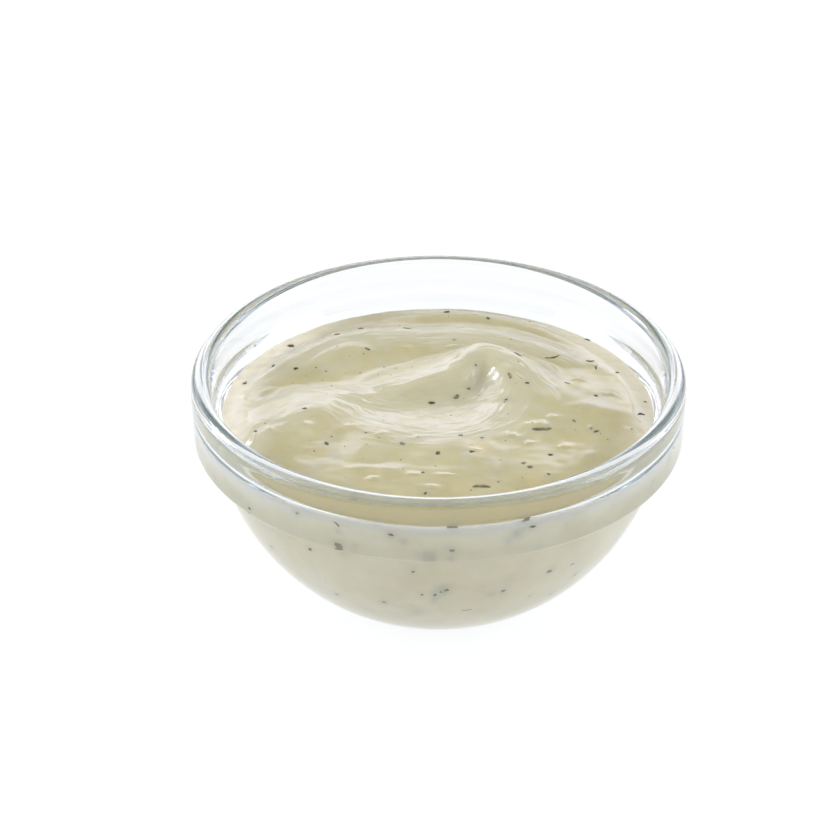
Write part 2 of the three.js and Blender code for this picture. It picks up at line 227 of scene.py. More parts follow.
# The spoon's strokes: how broad-backed the fold is, and [x, y, rise, reach behind, reach in front] along it.
STROKES = [
    # crest up to the peak and down over its right shoulder
    (1.0, [[-19, 5.0, 0.3, 5.0, 3.5], [-15.5, 3.4, 0.8, 6.0, 3.4], [-11.6, 2.2, 1.2, 7.2, 3.2], [-6.6, 4.2, 1.75, 8.2, 4.0], [-2.4, 6.2, 2.2, 8.6, 4.4], [1.6, 8.6, 2.6, 8.0, 4.4], [4.7, 11.6, 3.0, 6.8, 4.4], [7.6, 15.2, 3.35, 4.6, 4.8], [10.4, 15.2, 3.1, 4.6, 6.0], [13.4, 13.4, 2.5, 5.0, 6.8], [16.0, 10.6, 1.6, 5.2, 6.4], [18.4, 7.6, 0.7, 4.6, 5], [20.0, 5.0, 0.1, 3.6, 4]]),
    # the spoon's furrow
    (0.0, [[-22, 6.5, -0.1, 3, 5.0], [-17, 4.6, -0.5, 3, 6.0], [-11, 1.8, -0.7, 3.0, 6.5], [-5, 1.0, -0.6, 3.6, 7.0], [0, 1.2, -0.5, 4.0, 7.0], [4.0, 2.8, -0.65, 4.0, 6.5], [6.6, 5.2, -0.85, 3.8, 5.0], [7.9, 8.0, -0.95, 3.6, 4.4], [8.2, 10.8, -0.5, 3, 3.2]]),
    # near lip of the furrow, round to the right
    (0.0, [[-24, 0.8, 0.1, 3.4, 5], [-21, 0.2, 0.5, 4.0, 6], [-17.5, -1.8, 0.75, 5.2, 7], [-12.5, -6.0, 0.7, 6.2, 7], [-6, -9.4, 0.5, 7.4, 7], [0, -10.6, 0.5, 7.8, 7], [5.5, -9.2, 0.5, 7.4, 7], [9.4, -6.2, 0.55, 6.0, 7], [12.0, -1.4, 0.55, 4.8, 6], [13.2, 4.0, 0.4, 3.6, 4], [13.4, 8.0, 0.2, 3, 3]]),
    # ring ridge round the back, in two overlapping sweeps
    (0.8, [[-36.5, 4, 0.05, 3.0, 4], [-33.5, 9, 0.3, 3.2, 4], [-28.8, 14.6, 0.9, 3.0, 4.5], [-23, 20.4, 1.3, 3.2, 5.5], [-17, 24.8, 1.2, 3.6, 7], [-10, 26.8, 0.8, 3.8, 8.5], [-2, 27.0, 0.65, 4.0, 9], [6, 26.2, 0.6, 4.0, 9], [12, 24.4, 0.3, 3.4, 7]]),
    (0.8, [[4, 29.0, 0.3, 3.0, 6], [10, 26.4, 0.9, 3.2, 6], [15, 23.8, 1.0, 3.6, 4], [19.5, 20.8, 0.8, 3.6, 2.6], [23.5, 17.6, 0.35, 3.4, 2.4], [26.5, 15, 0.1, 3.4, 2.4]]),
    # the same lip where it swings out to the left
    (0.0, [[-36.5, -17.0, 0.2, 9, 7], [-33.0, -13.8, 0.7, 10, 6], [-29.6, -10.2, 1.1, 9.4, 4.8], [-26.4, -6.6, 1.2, 7.6, 4], [-23.2, -3.6, 0.9, 6.4, 3.6], [-20.4, -2.0, 0.45, 4.6, 3.2], [-17.5, -1.4, 0.1, 3, 3]]),
    # bank along the back wall
    (0.0, [[-10, 35.2, 0.1, 2, 3], [-2, 35.8, 0.6, 2, 3.4], [7, 35.2, 0.8, 2, 3.6], [15, 32.4, 0.8, 2, 3.6], [22, 28.0, 0.5, 2, 3.4], [27, 23.5, 0.1, 2, 3]]),
    # broad swell at the right
    (0.0, [[17, 0, 0.2, 12, 7], [23, -1.0, 1.2, 18, 9], [29, -2, 1.6, 19, 9], [37, -4, 1.1, 17, 7]]),
    # swell along the left edge
    (0.0, [[-40, -11, 0.8, 18, 8], [-36, -10, 0.7, 18, 8], [-32, -8.5, 0.4, 15, 8], [-27, -6, 0.1, 9, 7]]),
    # short folds behind the left part of the swirl
    (0.0, [[-25, 12.0, 0.1, 1.8, 2.5], [-20.5, 17.0, 0.45, 1.8, 3.0], [-17, 19.8, 0.55, 1.8, 3.0], [-13.6, 20.0, 0.2, 1.6, 2.5]]),
    (0.0, [[-29, 2.0, 0.1, 1.4, 2.0], [-25.4, 4.4, 0.28, 1.5, 2.2], [-21.4, 5.0, 0.28, 1.5, 2.2], [-17.4, 3.8, 0.1, 1.3, 2.0]]),
    (0.0, [[-33, -3.6, 0.1, 1.2, 2.0], [-29.6, -0.6, 0.24, 1.4, 2.0], [-26.4, 2.0, 0.22, 1.4, 2.0], [-23, 3.0, 0.1, 1.2, 2.0]]),
    # crease under the hook of the peak
    (0.0, [[9.2, 14.0, -0.05, 1.6, 1.6], [8.8, 12.2, -0.18, 1.9, 1.9], [8.2, 10.2, -0.25, 2.0, 2.0], [7.4, 8.4, -0.18, 2.0, 2.0], [6.6, 6.8, -0.05, 1.6, 1.6]]),
    # the mound's soft edge over the end of the furrow
    (0.0, [[9.4, 14.2, 0.1, 3.0, 2.0], [10.9, 11.8, 0.5, 3.6, 2.2], [12.0, 9.0, 0.8, 3.6, 2.4], [12.6, 6.0, 0.7, 3.4, 2.4], [12.4, 3.2, 0.2, 3, 2.4]]),
    # low terrace near the front
    (0.0, [[-24, -19.6, -0.03, 2, 1.6], [-15, -21.4, -0.09, 2.2, 1.6], [-6, -22.2, -0.10, 2.2, 1.6], [4, -23.0, -0.04, 2, 1.4]]),
]
# Lumps just under the surface: [x, y, height, half length, half width, turn in degrees].
LUMPS = [
    [-23.5, -9.2, 0.30, 1.1, 0.7, 10], [-15.5, -9.0, 0.28, 1.2, 0.7, -5], [-10.2, -11.8, 0.22, 1.0, 0.6, 20], [-3.2, -13.0, 0.22, 0.9, 0.6, 0],
    [13.0, -12.0, 0.24, 1.1, 0.6, -15], [16.2, -14.8, 0.24, 1.0, 0.6, 10], [21.0, -6.0, 0.26, 1.2, 0.8, 0], [18.2, -8.2, 0.5, 1.7, 1.1, -8],
    [-14.0, -24.2, 0.26, 1.5, 0.6, 12], [-9.0, -24.4, 0.24, 1.3, 0.6, -6], [-4.2, -26.2, 0.26, 1.3, 0.6, 4], [0.8, -26.4, 0.24, 1.5, 0.6, 2],
    [-11.2, -27.6, 0.28, 1.1, 0.7, 15], [-1.0, -30.5, 0.2, 1.2, 0.7, 0], [27.2, -9.6, 0.25, 1.3, 0.8, 25], [31.5, 2.6, 0.2, 1.6, 0.8, -20],
    [26.0, 8.4, 0.2, 1.4, 0.7, -25], [22.4, -16.0, 0.2, 1.0, 0.7, 10], [-29.5, -12.0, 0.22, 1.2, 0.7, -20], [6.6, -17.4, 0.18, 0.9, 0.6, 0],
    [-20.2, 5.6, 0.2, 1.3, 0.7, 30], [-6.4, 21.4, 0.18, 1.2, 0.8, 0], [2.8, 21.6, 0.2, 1.0, 0.8, 0], [28.6, 14.6, 0.26, 1.5, 0.8, -40],
    [-32.2, 3.8, 0.2, 1.5, 0.8, 50], [10.8, 2.4, 0.26, 0.9, 0.7, 0], [13.6, 9.4, 0.22, 1.0, 0.8, 0], [34.2, -9.8, 0.2, 1.2, 0.7, 30],
]
STEPS = 96


def spline(rows):
    """The smooth curve through the rows, as STEPS + 1 samples."""
    p = np.array(rows, float)
    n = len(p)
    out = []
    for u in np.linspace(0, 1, STEPS + 1):
        q = (n - 1) * u
        i = int(math.floor(q))
        t = q - i
        p0, p1 = p[i if i == 0 else i - 1], p[i]
        p2 = p[n - 1 if i > n - 2 else i + 1]
        p3 = p[n - 1 if i > n - 3 else i + 2]
        v0, v1 = (p2 - p0) * 0.5, (p3 - p1) * 0.5
        out.append((2 * p1 - 2 * p2 + v0 + v1) * t ** 3 + (-3 * p1 + 3 * p2 - 2 * v0 - v1) * t * t + v0 * t + p1)
    return np.array(out)


CURVES = [(broad, spline(rows)) for broad, rows in STROKES]


def follow(curve, x, y, broad):
    """Height of one fold at each point, and there the soft distance across and length along the curve."""
    step = np.diff(curve[:, :2], axis=0)
    run = np.r_[0, np.cumsum(np.hypot(*step.T))]
    tangent = np.gradient(curve[:, :2], axis=0)
    tangent /= np.hypot(*tangent.T)[:, None]
    spacing = np.gradient(run)
    room = 3 * curve[:, 3:5].max()
    inside = (x > curve[:, 0].min() - room) & (x < curve[:, 0].max() + room) & (y > curve[:, 1].min() - room) & (y < curve[:, 1].max() + room)
    height, soft_side, soft_run = np.zeros(len(x)), np.full(len(x), 99.0), np.zeros(len(x))
    x, y = x[inside], y[inside]
    power = np.zeros(len(x))
    weight = np.full(len(x), 1e-300)
    across = np.zeros(len(x))
    along = np.zeros(len(x))
    for (cx, cy, rise, behind, front), (tx, ty), ds, a in zip(curve, tangent, spacing, run):
        ex, ey = x - cx, y - cy
        d2 = ex * ex + ey * ey
        side = tx * ey - ty * ex
        back = 0.5 + 0.5 * np.tanh(side / 1.0)
        reach = front + (behind - front) * back
        u = d2 / (reach * reach)
        if broad:
            u = u + (u ** 2.5 - u) * back * broad
        high = np.maximum(abs(rise) - 0.13 * broad * np.clip(side, 0, 5.0), 0.2 * abs(rise))
        power += high ** UNION * np.exp(-UNION * u) * ds / (reach * math.sqrt(math.pi / UNION))
        w = np.exp(-d2 / 1.5)
        weight += w
        across += w * side
        along += w * a
    sign = 1.0 if curve[:, 2].sum() > 0 else -1.0
    height[inside] = sign * power ** (1 / UNION)
    soft_side[inside] = across / weight
    soft_run[inside] = along / weight
    return height, soft_side, soft_run


def contact_z(x, y):
    """The sauce meets the glass here: lower at the back, up over the step at the front."""
    x, y = np.asarray(x, float), np.asarray(y, float)
    return LIP_Z - LEVEL_DROP - LEVEL_TILT * y / WELL_R + FRONT_RISE * smooth(0.55, 0.98, -y / WELL_R)


def surface(x, y, edge=WELL_R, fine=True, comb=None):
    """Height of the sauce, with the folds and, if fine, the streaks and lumps in them. Fills comb, if given, with the way and strength of the streaks."""
    x, y = np.asarray(x, float), np.asarray(y, float)
    shape = x.shape
    x, y = x.ravel(), y.ravel()
    out = np.clip(np.hypot(x, y) / np.asarray(edge, float).ravel(), 0, 1)
    wall = smooth(0.8, 1.0, out)
    level = LIP_Z - LEVEL_DROP - LEVEL_TILT * y / WELL_R
    inner = INNER_RISE * smooth(0.1, 0.75, -y / WELL_R) + 0.35 * np.exp(-(((y + 16) / 14) ** 2)) * (1 - out ** 6)
    z = level + 0.5 * (1 - out ** 22) + inner * (1 - wall) + FRONT_RISE * smooth(0.55, 0.98, -y / WELL_R) * wall
    fade = 1 - smooth(0.88, 1.0, out)
    folds = np.zeros(len(x))
    streaks = np.zeros(len(x))
    if fine:
        bend = 0.5 * fbm(x / 6.0, y / 6.0, 31, 2)
        sx, sy = x + bend, y + 0.5 * fbm(x / 6.0, y / 6.0, 77, 2)
    else:
        sx, sy = x, y
    first = second = np.zeros(len(x))
    way = np.zeros((len(x), 3))
    for i, (broad, c) in enumerate(CURVES):
        height, s, along = follow(c, sx, sy, broad)
        folds += height
        if fine and i < 6:
            near = np.exp(-((s / (8.0 if i in (1, 2) else 4.6)) ** 4)) * np.minimum(1.0, np.abs(height) / 0.5) * (0.35 + 0.65 * smooth(-0.3, 0.5, noise2(s / 2.4, along / 5.0, 90 + i)))
            if comb is not None:
                weight = np.exp(-((s / (6.4 if i in (1, 2) else 4.8)) ** 2)) * np.minimum(1.0, np.abs(height) / 0.3) * (1.0, 1.0, 0.9, 0.9, 0.9, 0.6)[i]
                lead = weight > first
                second = np.where(lead, first, np.maximum(second, weight))
                first = np.where(lead, weight, first)
                way[lead] = np.stack([s, along, np.full(len(s), 9.0 * i)], 1)[lead]
            streaks += near * (1.7, 1.3, 1.1, 1.3, 1.3, 1.2)[i] * (0.05 * noise2(s / 1.7, along / 4.0, 30 + i) + 0.05 * noise2(s / 0.95, along / 6.0, 40 + i) + 0.035 * noise2(s / 0.55, along / 3.2, 60 + i) + 0.018 * noise2(s / 0.34, along / 2.0, 70 + i))
    if comb is not None:
        comb.append((way, smooth(0.0, 0.1, first - second) * smooth(0.0, 0.45, first) * (0.4 + 0.6 * smooth(-0.4, 0.5, noise2(x / 3.0, y / 2.2, 101))), smooth(0.05, 0.85, first)))
    z = z + fade * folds
    if fine:
        for lx, ly, h, half_l, half_w, turn in LUMPS:
            ca, sa = math.cos(math.radians(turn)), math.sin(math.radians(turn))
            u, w = (x - lx) * ca + (y - ly) * sa, -(x - lx) * sa + (y - ly) * ca
            u, w = u + 0.45 * noise2(x / 1.3 + lx, y / 1.3, 7), w + 0.45 * noise2(x / 1.3, y / 1.3 + ly, 8)
            z = z + 0.75 * h * np.exp(-((u / half_l) ** 2 + (w / half_w) ** 2))
        z = z + (1 - smooth(0.93, 1.0, out)) * (streaks + 0.085 * fbm(x / 8.0, y / 8.0, 3, 2) + 0.012 * noise2(x / 2.4, y / 2.0, 9) + 0.02 * smooth(22, 34, np.hypot(x, y - 4)) * noise2(x / 2.9, y / 1.4, 19))
    return z.reshape(shape)


TILT = math.radians(30.6)
DISTANCE = 500.0
SAUCE_IN = 0.1  # the sauce reaches this far into the glass


def sauce_mesh():
    seg, top_rings = 380, 190
    wall = inner_wall(-SAUCE_IN)
    wall_z = wall[:, 1]
    rising = np.maximum.accumulate(wall_z + np.arange(len(wall_z)) * 1e-9)
    a = np.arange(seg) / seg * 2 * math.pi
    ca, sa = -np.cos(a), np.sin(a)
    rim_z = contact_z(WELL_R * sa, WELL_R * ca) + 0.12 * noise2(a * 3.5, 0 * a, 21) + 0.05 * noise2(a * 14, 0 * a, 22)
    edge = np.interp(rim_z, rising, wall[:, 0])
    low = thin(wall[: np.searchsorted(rising, 32.5)], 1.6, 6.0)
    rows = []
    for r, z in low[1:]:
        rows.append(np.stack([sa * r, ca * r, np.full(seg, z)], 1))
    for t in (0.09, 0.18, 0.27, 0.36, 0.46, 0.56, 0.66, 0.76, 0.85, 0.92, 0.97, 0.985, 1.0):
        z = low[-1][1] + (rim_z - low[-1][1]) * t
        r = np.interp(z, rising, wall[:, 0])
        rows.append(np.stack([sa * r, ca * r, z], 1))
    share = 1 - np.arange(1, top_rings) / top_rings
    share = np.concatenate([[0.9985], share ** 0.82])
    R = share[:, None] * edge[None, :]
    X, Y = R * sa, R * ca
    comb = []
    Z = surface(X, Y, np.broadcast_to(edge, X.shape), True, comb) + (rim_z - contact_z(WELL_R * sa, WELL_R * ca)) * share[:, None] ** 8
    for k in range(len(share)):
        rows.append(np.stack([X[k], Y[k], Z[k]], 1))
    ring = np.concatenate(rows)
    m = len(rows)
    centre = float(surface(np.array([0.0]), np.array([0.0]))[0])
    verts = np.concatenate([ring, [[0, 0, low[0][1]], [0, 0, centre]]]) * MM
    faces = []
    for k in range(m - 1):
        for i in range(seg):
            j = (i + 1) % seg
            faces.append((k * seg + i, k * seg + j, (k + 1) * seg + j, (k + 1) * seg + i))
    first, last = m * seg, m * seg + 1
    for i in range(seg):
        j = (i + 1) % seg
        faces.append((first, j, i))
        faces.append((last, (m - 1) * seg + i, (m - 1) * seg + j))
    ob = new_mesh("sauce_swirled", verts, faces)
    n_wall = (m - len(share)) * seg
    touch = np.zeros(len(verts), np.float32)
    touch[:n_wall] = 1.0
    touch[-2] = 1.0
    # film_painted_light_and_shade: on the wall, a near-white band just under the contact line, partly a thin smear of
    # sauce on the glass and partly painted light shining through it; on the top, negative values mark painted shade.
    film_painted_light_and_shade = np.zeros(len(verts), np.float32)
    zz = verts[:-2, 2].reshape(m, seg) / MM
    rr = np.hypot(verts[:-2, 0], verts[:-2, 1]).reshape(m, seg) / MM
    rows_wall = m - len(share)
    film_painted_light_and_shade[:-2].reshape(m, seg)[:rows_wall] = 1 - smooth(0.1, 3.8, rim_z[None, :] - zz[:rows_wall])
    # Painted shade: near the front glass the top gets negative values, which the material darkens, for the shade under
    # the collar.
    film_painted_light_and_shade[:-2].reshape(m, seg)[rows_wall:] = -(1 - smooth(0.8, 6.5, edge[None, :] - rr[rows_wall:])) * smooth(-0.5, 1.3, edge[None, :] - rr[rows_wall:]) * smooth(12, 30, -verts[:-2, 1].reshape(m, seg)[rows_wall:] / MM)
    px, py = verts[:-2, 0].reshape(m, seg)[rows_wall:] / MM, verts[:-2, 1].reshape(m, seg)[rows_wall:] / MM
    # Painted reflection: a warm pale colour along the top's edge at the left and right, stronger on the left, for the
    # sheen of the side softboxes.
    rim = np.zeros(len(verts), np.float32)
    rim[:-2].reshape(m, seg)[rows_wall:] = (1 - smooth(1.0, 8.0, edge[None, :] - rr[rows_wall:])) * smooth(14, 30, np.abs(px)) * smooth(-24, -8, py) * (0.74 + 0.2 * fbm(px / 3.6, py / 2.3, 83, 3)) * np.where(px > 0, 0.72, 1.2)
    attr = ob.data.attributes.new("painted_reflection_rim", "FLOAT", "POINT")
    attr.data.foreach_set("value", np.clip(rim, 0, 1))
    # Painted light from below: the bottom of the sauce against the glass is painted pale as well.
    film_painted_light_and_shade[:-2].reshape(m, seg)[:rows_wall] = np.maximum(film_painted_light_and_shade[:-2].reshape(m, seg)[:rows_wall], 0.7 * (1 - smooth(4.2, 7.5, zz[:rows_wall])))
    attr = ob.data.attributes.new("film_painted_light_and_shade", "FLOAT", "POINT")
    attr.data.foreach_set("value", film_painted_light_and_shade)
    # drawn_out_painted_highlight: how deep each point lies in a fold; the material paints the folds paler, partly the
    # aerated look of drawn sauce, partly painted highlight.
    way, strength, drawn = np.zeros((len(verts), 3), np.float32), np.zeros(len(verts), np.float32), np.zeros(len(verts), np.float32)
    way[n_wall:-2], strength[n_wall:-2], drawn[n_wall:-2] = comb[0]
    attr = ob.data.attributes.new("drawn_out_painted_highlight", "FLOAT", "POINT")
    attr.data.foreach_set("value", drawn)
    attr = ob.data.attributes.new("streak_way", "FLOAT_VECTOR", "POINT")
    attr.data.foreach_set("vector", way.ravel())
    attr = ob.data.attributes.new("streak_strength", "FLOAT", "POINT")
    attr.data.foreach_set("value", strength)
    attr = ob.data.attributes.new("against_glass", "FLOAT", "POINT")
    attr.data.foreach_set("value", touch)
    spots = np.zeros(len(verts), np.float32)
    p = verts / MM
    for x, y, z, r, k in sunk_spots():
        d2 = (p[:, 0] - x) ** 2 + (p[:, 1] - y) ** 2 + (p[:, 2] - z) ** 2
        spots = np.maximum(spots, k * np.exp(-d2 / (r * r)) * (0.75 + 0.35 * noise2(p[:, 0] / 0.8 + p[:, 2], p[:, 1] / 0.8, 55)))
    attr = ob.data.attributes.new("sunk_herb", "FLOAT", "POINT")
    attr.data.foreach_set("value", np.clip(spots, 0, 1).astype(np.float32))
    return ob


# ---------------------------------------------------------------- herbs
# On top, [x, y as seen on the level plane, length, width, turn in degrees]; the height comes from the surface.
HERBS_TOP = [
    [1.5, 36.0, 1.1, 0.6, 20], [9.5, 33.5, 0.9, 0.6, -30], [-15.0, 29.3, 1.3, 1.0, 40], [-28.0, 22.5, 1.5, 1.2, 60], [-13.5, 21.5, 1.1, 0.6, -35],
    [3.0, 25.0, 0.9, 0.5, -25], [-31.0, 15.0, 0.8, 0.5, 70], [-26.8, 14.0, 0.8, 0.6, 10], [-21.0, 13.0, 0.5, 0.3, 0], [-36.0, 8.5, 0.7, 0.6, 0],
    [-24.5, -0.4, 0.9, 0.5, 15], [-20.0, -12.5, 1.2, 0.6, -70], [-6.5, -12.5, 1.5, 0.7, -55], [0.0, -15.5, 1.0, 0.6, 75], [6.0, -15.0, 1.1, 0.7, 20],
    [4.0, -9.5, 1.1, 0.7, -20], [8.0, -10.3, 0.8, 0.4, 30], [18.0, -7.4, 2.0, 1.0, -4], [19.4, -7.2, 1.6, 0.8, 8], [28.5, -8.0, 1.5, 0.7, 35],
    [27.6, -7.0, 0.8, 0.5, 80], [20.0, -16.0, 1.0, 0.7, 15], [15.2, -18.7, 0.9, 0.6, 50], [16.3, -20.0, 1.0, 0.8, -20], [19.5, -22.5, 1.0, 0.6, -60],
    [-2.7, -22.0, 0.8, 0.4, 0], [-2.2, -28.8, 1.0, 0.5, 65], [5.6, 6.8, 0.9, 0.6, 50], [3.3, 4.0, 1.2, 0.6, 50], [-1.2, 1.8, 1.0, 0.6, 10],
    [7.0, 15.5, 0.5, 0.4, 0], [16.5, 9.0, 0.8, 0.5, 10], [29.0, 4.5, 0.8, 0.5, -30], [38.0, 2.5, 0.5, 0.3, 0], [35.0, -7.0, 0.9, 0.4, -70],
    [12.5, 3.0, 0.6, 0.4, 0], [28.4, 25.4, 0.9, 0.4, -25], [33.4, 13.0, 0.7, 0.4, 40], [-10.2, 14.6, 0.4, 0.3, 0], [-33.0, -8.4, 0.6, 0.4, 20],
    [10.6, -25.0, 0.5, 0.3, 0], [-13.0, -8.8, 0.4, 0.3, 0], [24.6, -4.2, 0.5, 0.35, 30], [33.0, -16.5, 0.7, 0.4, 20], [-30.4, -17.4, 0.5, 0.4, 0],
    [4.4, -33.0, 0.8, 0.5, 0], [3.0, -34.4, 0.7, 0.4, 30], [-17.0, -33.0, 0.6, 0.4, 0], [-10.0, -36.0, 0.6, 0.4, 50],
]
# Thin bits of stem on top: [x, y as seen, length, thickness, turn].
STEMS_TOP = [
    [7.6, -26.5, 3.0, 0.66, -2], [21.5, 18.6, 2.6, 0.34, 12], [13.3, 11.7, 1.7, 0.5, 105], [37.0, -2.0, 1.6, 0.36, 28], [29.6, 14.8, 1.7, 0.32, 82],
    [28.6, 17.2, 1.5, 0.32, 8], [-6.2, 29.4, 1.3, 0.28, -15], [15.0, 19.6, 1.6, 0.28, -38], [-19.4, 27.0, 1.1, 0.28, 30], [24.0, 9.0, 1.2, 0.26, -35],
]
# Against the glass: [azimuth in degrees from the front to the right, height, length, width, turn].
HERBS_WALL = [
    [-35.6, 34.9, 0.8, 0.5, 0], [-24.5, 30.5, 1.4, 0.9, -40], [-24.6, 28.8, 1.2, 0.5, 5], [-35.2, 26.1, 0.9, 0.6, 30], [-11.2, 34.9, 1.1, 0.6, -25],
    [3.5, 32.0, 0.9, 0.5, 0], [2.7, 29.6, 0.5, 0.8, 0], [2.4, 21.3, 0.9, 0.6, 25], [-0.7, 19.9, 0.9, 0.6, 80], [0.9, 20.8, 0.5, 0.4, 10], [-4.3, 19.9, 0.7, 0.5, 0], [-6.3, 25.9, 0.6, 0.4, 0],
    [-31.9, 15.2, 0.8, 0.4, -10], [-15.9, 16.4, 0.9, 0.5, 10], [18.6, 19.5, 1.0, 0.6, 15], [31.9, 21.9, 1.1, 0.6, -15], [20.7, 37.4, 1.6, 0.7, 8],
    [23.0, 35.2, 1.6, 0.6, -20], [3.3, 37.6, 1.8, 0.4, 0], [24.8, 30.0, 0.5, 0.4, 0], [44.0, 17.3, 0.8, 0.4, 20], [28.7, 15.7, 0.5, 0.3, 0],
    [-52.0, 30.7, 0.7, 0.4, 0], [-52.8, 20.9, 0.6, 0.4, 0], [38.5, 13.4, 0.4, 0.3, 0],
]
STEMS_WALL = [[9.0, 14.8, 1.7, 0.3, 12], [-24.6, 35.2, 1.5, 0.35, -55], [39.7, 21.4, 1.0, 0.25, 0]]
# Herbs that show only as a faint grey-green veil: [azimuth, height, radius, strength] at the glass.
VEILS_WALL = [
    [-1.8, 30.2, 1.15, 0.75], [-3.4, 30.3, 0.9, 0.6], [-2.6, 31.2, 0.8, 0.4], [1.2, 21.2, 1.2, 0.75], [-0.8, 19.8, 0.95, 0.8], [-1.0, 18.0, 0.7, 0.4], [2.6, 21.6, 0.8, 0.5], [19.3, 34.2, 1.3, 0.5], [21.2, 34.9, 1.0, 0.45], [17.4, 33.2, 1.2, 0.3],
    [-8.3, 33.6, 0.8, 0.4], [-24.5, 33.6, 0.9, 0.25], [15.3, 19.2, 0.9, 0.3], [-6.6, 14.3, 1.6, 0.28], [-20.5, 30.9, 0.7, 0.25], [44, 18.4, 0.9, 0.25], [-36.1, 21.4, 0.7, 0.2],
]
VEILS_TOP = [
    [15.0, -9.8, 1.6, 0.22], [6.0, 20.2, 1.2, 0.12], [-2.0, -17.4, 1.0, 0.14], [10.4, -22.0, 1.2, 0.16], [25.6, 6.0, 1.2, 0.16], [-8.4, -19.0, 0.9, 0.12], [-28.6, 20.6, 1.0, 0.25],
    [-14.4, 22.6, 0.9, 0.25], [2.0, -6.0, 1.2, 0.10], [31.0, -11.0, 1.0, 0.16], [21.6, 12.6, 1.0, 0.14], [-12.4, 25.8, 1.0, 0.12], [19.8, -4.8, 1.4, 0.25],
]
TO_EYE = (0.0, -DISTANCE * math.cos(TILT), DISTANCE * math.sin(TILT) + LIP_Z)


GRID = np.linspace(-41, 41, 247)


def height_grid():
    gx, gy = np.meshgrid(GRID, GRID)
    return surface(gx, gy, WELL_R + 0.6)


HEIGHTS = height_grid()


def level_at(x, y):
    """Height of the sauce, looked up in the grid."""
    u = np.clip((np.asarray(x, float) - GRID[0]) / (GRID[1] - GRID[0]), 0, len(GRID) - 1.001)
    v = np.clip((np.asarray(y, float) - GRID[0]) / (GRID[1] - GRID[0]), 0, len(GRID) - 1.001)
    i, j = u.astype(int), v.astype(int)
    fu, fv = u - i, v - j
    return (HEIGHTS[j, i] * (1 - fu) + HEIGHTS[j, i + 1] * fu) * (1 - fv) + (HEIGHTS[j + 1, i] * (1 - fu) + HEIGHTS[j + 1, i + 1] * fu) * fv


def place_top(x, y):
    """The point of the surface that is seen at x, y of the level plane from the photo's side."""
    start = np.array([x, y, LIP_Z - LEVEL_DROP])
    way = np.array(TO_EYE) - start
    lo, hi = -0.02, 0.05
    s = np.linspace(hi, lo, 300)
    pts = start + s[:, None] * way
    over = pts[:, 2] - level_at(pts[:, 0], pts[:, 1])
    k = int(np.argmax(over <= 0))
    return pts[k]


def top_frame(p):
    e = 0.25
    h = level_at(np.array([p[0] + e, p[0] - e, p[0], p[0]]), np.array([p[1], p[1], p[1] + e, p[1] - e]))
    n = Vector((-(h[0] - h[1]) / (2 * e), -(h[2] - h[3]) / (2 * e), 1)).normalized()
    u = Vector((1, 0, 0))
    u = (u - n * u.dot(n)).normalized()
    return n, u, n.cross(u)


WALL_PATH = inner_wall(-SAUCE_IN)
WALL_RISING = np.maximum.accumulate(WALL_PATH[:, 1] + np.arange(len(WALL_PATH)) * 1e-9)


def wall_radius(z):
    return float(np.interp(z, WALL_RISING, WALL_PATH[:, 0]))


def wall_frame(azimuth, z):
    a = math.radians(azimuth)
    r = wall_radius(z)
    slope = (wall_radius(z + 0.2) - wall_radius(z - 0.2)) / 0.4
    out = Vector((math.sin(a), -math.cos(a), 0))
    n = (out - Vector((0, 0, 1)) * slope).normalized()
    u = Vector((math.cos(a), math.sin(a), 0))
    return np.array([r * math.sin(a), -r * math.cos(a), z]), n, u, n.cross(u)


def sunk_spots():
    out = []
    for az, z, r, k in VEILS_WALL:
        p = wall_frame(az, z)[0]
        out.append((*p, r, k))
    for x, y, r, k in VEILS_TOP:
        out.append((*place_top(x, y), r, k))
    for x, y, l, w, turn in HERBS_TOP:
        out.append((*place_top(x, y), 0.55 * l + 0.35, 0.30))
    for az, z, l, w, turn in HERBS_WALL:
        out.append((*wall_frame(az, z)[0], 0.6 * l + 0.4, 0.35))
    rng = np.random.default_rng(5)
    for _ in range(26):
        az, z = rng.uniform(60, 300), rng.uniform(10, 34)
        out.append((*wall_frame(az, z)[0], rng.uniform(0.6, 1.5), rng.uniform(0.2, 0.45)))
    for _ in range(16):
        r, t = 34 * math.sqrt(rng.random()), rng.uniform(0, 2 * math.pi)
        out.append((*place_top(r * math.cos(t), r * math.sin(t)), rng.uniform(0.6, 1.3), rng.uniform(0.08, 0.2)))
    return out


def flake(rng, length, width, thick):
    """A torn bit of leaf: an uneven plate, thin at its edge and a little curled."""
    m = int(rng.integers(8, 12))
    t = np.arange(m) / m * 2 * math.pi + rng.uniform(-0.2, 0.2, m)
    rad = rng.uniform(0.62, 1.12, m)
    ox, oy = 0.5 * length * rad * np.cos(t), 0.5 * width * rad * np.sin(t)
    curl = rng.uniform(-0.25, 0.35) / max(length, 0.4)
    lift = lambda x, y: curl * x * x + 0.3 * curl * y * y
    rows = [
        np.stack([ox, oy, lift(ox, oy)], 1),
        np.stack([ox * 0.72, oy * 0.72, lift(ox, oy) * 0.5 + 0.5 * thick * rng.uniform(0.7, 1.2, m)], 1),
        np.stack([ox * 0.72, oy * 0.72, lift(ox, oy) * 0.5 - 0.5 * thick * rng.uniform(0.7, 1.2, m)], 1),
    ]
    v = np.concatenate(rows + [[[0, 0, 0.6 * thick]], [[0, 0, -0.6 * thick]]])
    f = []
    for i in range(m):
        j = (i + 1) % m
        f += [(i, j, m + j, m + i), (m + i, m + j, 3 * m), (j, i, 2 * m + i, 2 * m + j), (2 * m + j, 2 * m + i, 3 * m + 1)]
    return v, f


